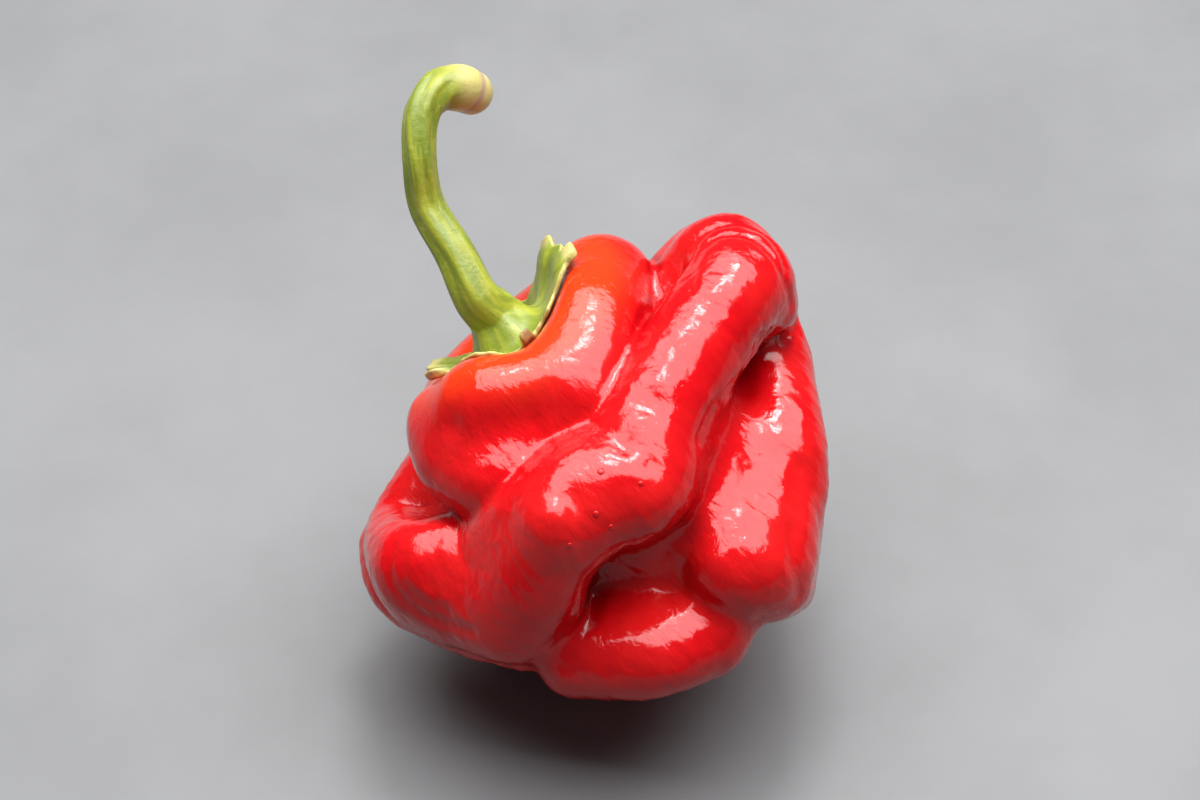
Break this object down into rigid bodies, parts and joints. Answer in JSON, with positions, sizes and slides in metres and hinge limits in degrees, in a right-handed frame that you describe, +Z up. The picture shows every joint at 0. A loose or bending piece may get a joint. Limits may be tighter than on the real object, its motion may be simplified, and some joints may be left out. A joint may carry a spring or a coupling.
{
  "type": "chilli pepper",
  "caption": "Squat bonnet-shaped chilli pepper with folded lobes round a domed crown, and a bent green stem on a toothed calyx.",
  "frame": {"origin": "middle of the bounding box's underside, on the surface that the pepper lies on", "axes": "+Z up as the pepper lies; +Y away from the picture's camera, +X to its right; the stem points up, to -X and +Y"},
  "size_m": [0.0404, 0.0466, 0.0444],
  "materials": {
    "pod": "waxy, glossy bright red chilli skin, more orange round the stalk",
    "stalk": "satin yellow-green stem and calyx with darker streaks and a cream cut end"
  },
  "bodies": {
    "root": {"pod": "pod", "stalk": "stalk"}
  },
  "joints": []
}
